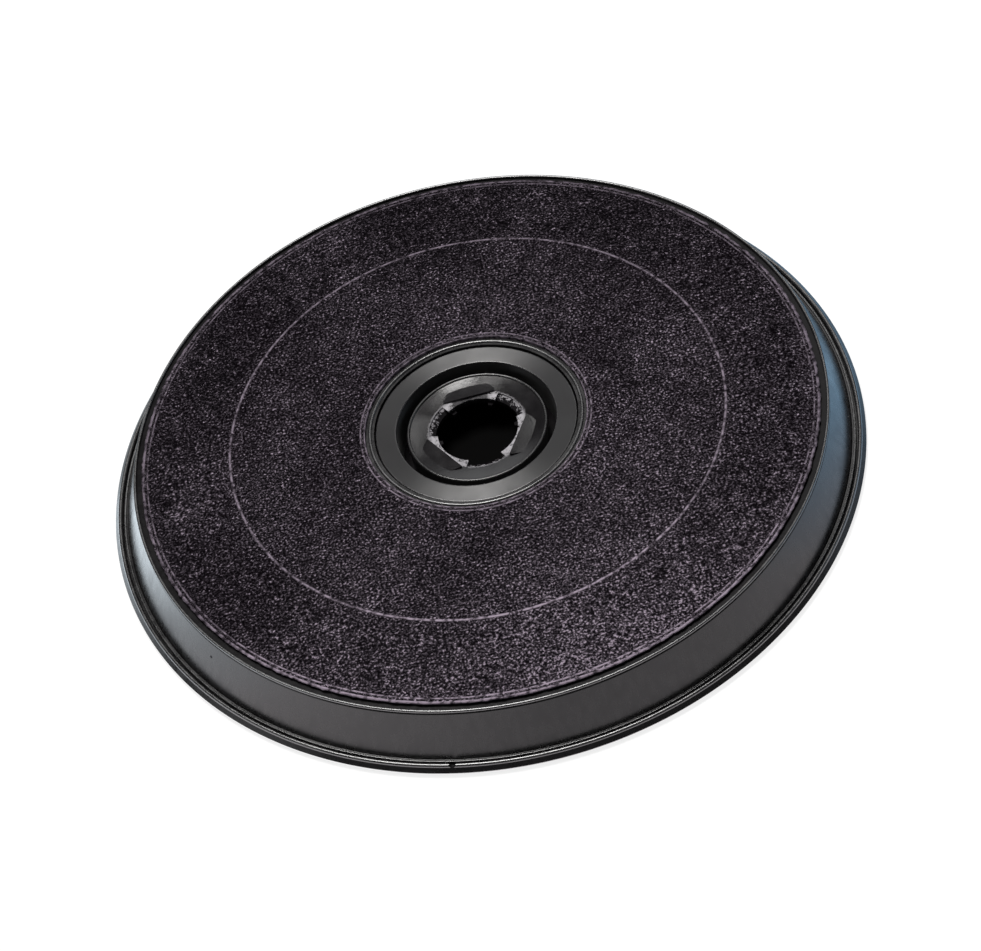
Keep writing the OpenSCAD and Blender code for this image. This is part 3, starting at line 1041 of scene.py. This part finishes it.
def floor_material():
    """Pale floor with the filter's soft shadow. Reflections of it have a tinted glow, graded by place: a
    painted reflection, with a painted shadow behind the filter.
    """
    material, graph, shader = new_material("studio_floor")
    tree = material.node_tree
    tree.nodes.remove(shader)
    output = tree.nodes["Material Output"]
    path = graph.add("ShaderNodeLightPath")
    seen = graph.math("MAXIMUM", path.outputs["Is Camera Ray"], path.outputs["Is Transmission Ray"])
    lit = graph.add("ShaderNodeBsdfDiffuse", {"Color": (0.8, 0.8, 0.81, 1.0)})
    shadow = graph.add("ShaderNodeBsdfDiffuse", {"Color": (0.25, 0.25, 0.25, 1.0)})
    glow = graph.add("ShaderNodeEmission", {"Color": (1.0, 1.0, 1.0, 1.0), "Strength": 0.82})
    shown = graph.add("ShaderNodeAddShader", {0: shadow.outputs[0], 1: glow.outputs[0]})
    place = graph.add("ShaderNodeTexCoord").outputs["Object"]
    across, ahead, _ = graph.add("ShaderNodeSeparateXYZ", {0: place}).outputs
    # Glossy rays see a painted reflection in place of the lit floor: brighter towards the left, cooler
    # towards the right, and darker behind the filter as painted shadow
    aside = graph.math("MULTIPLY_ADD", ahead, 0.9, graph.math("ABSOLUTE", across))
    cool = graph.mix(graph.remap(across, -60 * MM, 60 * MM), (0.84, 0.93, 1.0, 1.0), (0.45, 0.72, 1.0, 1.0))
    tint = graph.mix(graph.remap(aside, 30 * MM, 110 * MM), (1.0, 0.95, 0.98, 1.0), cool)
    behind = graph.math("MULTIPLY_ADD", graph.math("MINIMUM", across, 0.0), 0.12, ahead)
    far = graph.remap(across, -120 * MM, 120 * MM, 0.22, 0.6)
    corner = graph.math("MULTIPLY_ADD", ahead, -0.8, across)
    side = graph.math(
        "ADD",
        graph.remap(across, -120 * MM, 0.0, 1.95, 1.33),
        graph.remap(corner, -95 * MM, -130 * MM, 0.0, 1.6),
    )
    strength = graph.math("MULTIPLY", graph.remap(behind, 24 * MM, 2 * MM, far, 1.0, smooth=True), side)
    painted_reflection = graph.add("ShaderNodeEmission", {"Color": tint, "Strength": strength})
    reflected = path.outputs["Is Glossy Ray"]
    unseen = graph.add("ShaderNodeMixShader", {0: reflected, 1: lit.outputs[0], 2: painted_reflection.outputs[0]})
    final = graph.add("ShaderNodeMixShader", {0: seen, 1: unseen.outputs[0], 2: shown.outputs[0]})
    graph.set_input(output.inputs["Surface"], final.outputs[0])
    return material


class CARBONFILTER_OT_studio(Operator):
    """Set up the camera at the photograph's angle, the pale floor, the softboxes and the world"""

    bl_idname = "carbonfilter.studio"
    bl_label = "Studio"

    def execute(self, context):
        studio = context.scene.carbon_filter.studio
        self.make_camera(context, studio)
        self.make_floor(context)
        self.make_lights(studio)
        self.make_world(context)
        context.scene.view_settings.view_transform = "Standard"
        return {"FINISHED"}

    def make_camera(self, context, studio):
        sin_el, cos_el = math.sin(studio.camera_elevation), math.cos(studio.camera_elevation)
        sin_roll, cos_roll = math.sin(studio.camera_roll), math.cos(studio.camera_roll)
        right, up, forward = Vector((1, 0, 0)), Vector((0, sin_el, cos_el)), Vector((0, cos_el, -sin_el))
        across = cos_roll * right - sin_roll * up
        upward = sin_roll * right + cos_roll * up
        place = Vector((0, 0, studio.aim_height)) - studio.camera_distance * forward
        place -= studio.aim_right * across + studio.aim_up * upward
        data = bpy.data.cameras.new("camera")
        data.sensor_width = 36.0
        data.lens = data.sensor_width * studio.focal_px / IMAGE_WIDTH_PX
        data.clip_start = 0.01
        camera = bpy.data.objects.new("camera", data)
        turn = Matrix((across, upward, -forward)).transposed()
        camera.matrix_world = Matrix.Translation(place) @ turn.to_4x4()
        context.scene.collection.objects.link(camera)
        context.scene.camera = camera

    def make_floor(self, context):
        half = 3.0
        level = -0.02 * MM
        mesh = bpy.data.meshes.new("floor")
        mesh.from_pydata(
            [(-half, -half, level), (half, -half, level), (half, half, level), (-half, half, level)],
            [],
            [(0, 1, 2, 3)],
        )
        mesh.materials.append(floor_material())
        floor = bpy.data.objects.new("floor", mesh)
        context.scene.collection.objects.link(floor)

    def make_lights(self, studio):
        middle = (0, 0, 0.01)
        for name, place, width, height, power, colour in SOFTBOXES:
            softbox(name, place, middle, width, height, getattr(studio, power), colour)

    def make_world(self, context):
        world = bpy.data.worlds.new("studio_world")
        world.use_nodes = True
        tree = world.node_tree
        graph = Graph(tree)
        background = tree.nodes["Background"]
        path = graph.add("ShaderNodeLightPath")
        seen = graph.math("MAXIMUM", path.outputs["Is Camera Ray"], path.outputs["Is Transmission Ray"])
        graph.set_input(background.inputs["Strength"], graph.remap(seen, 0.0, 1.0, 0.1, 1.0))
        background.inputs["Color"].default_value = (0.97, 0.98, 1.0, 1.0)
        context.scene.world = world


PIECE_OPERATORS = (
    CARBONFILTER_OT_front_felt,
    CARBONFILTER_OT_loose_fibres,
    CARBONFILTER_OT_rear_felt,
    CARBONFILTER_OT_mouldings,
    CARBONFILTER_OT_studio,
)


class CARBONFILTER_PT_looks(Panel):
    """Sidebar panel with the settings and the steps"""

    bl_idname = "CARBONFILTER_PT_looks"
    bl_label = "Carbon filter"
    bl_space_type = "VIEW_3D"
    bl_region_type = "UI"
    bl_category = "Carbon filter"

    def draw(self, context):
        layout = self.layout
        settings = context.scene.carbon_filter
        for group in (settings.felt, settings.plastic, settings.studio):
            column = layout.column(align=True)
            for name in group.bl_rna.properties.keys():
                if name not in {"rna_type", "name"}:
                    column.prop(group, name)
        for step in PIECE_OPERATORS:
            layout.operator(step.bl_idname)


CLASSES = (
    FeltSettings,
    PlasticSettings,
    StudioSettings,
    FilterSettings,
    *PIECE_OPERATORS,
    CARBONFILTER_PT_looks,
)


def register():
    for item in CLASSES:
        bpy.utils.register_class(item)
    bpy.types.Scene.carbon_filter = PointerProperty(type=FilterSettings)


def unregister():
    del bpy.types.Scene.carbon_filter
    for item in reversed(CLASSES):
        bpy.utils.unregister_class(item)


def main():
    register()
    bpy.ops.carbonfilter.front_felt()
    bpy.ops.carbonfilter.loose_fibres()
    bpy.ops.carbonfilter.rear_felt()
    bpy.ops.carbonfilter.mouldings()
    bpy.ops.carbonfilter.studio()


if __name__ == "__main__":
    main()
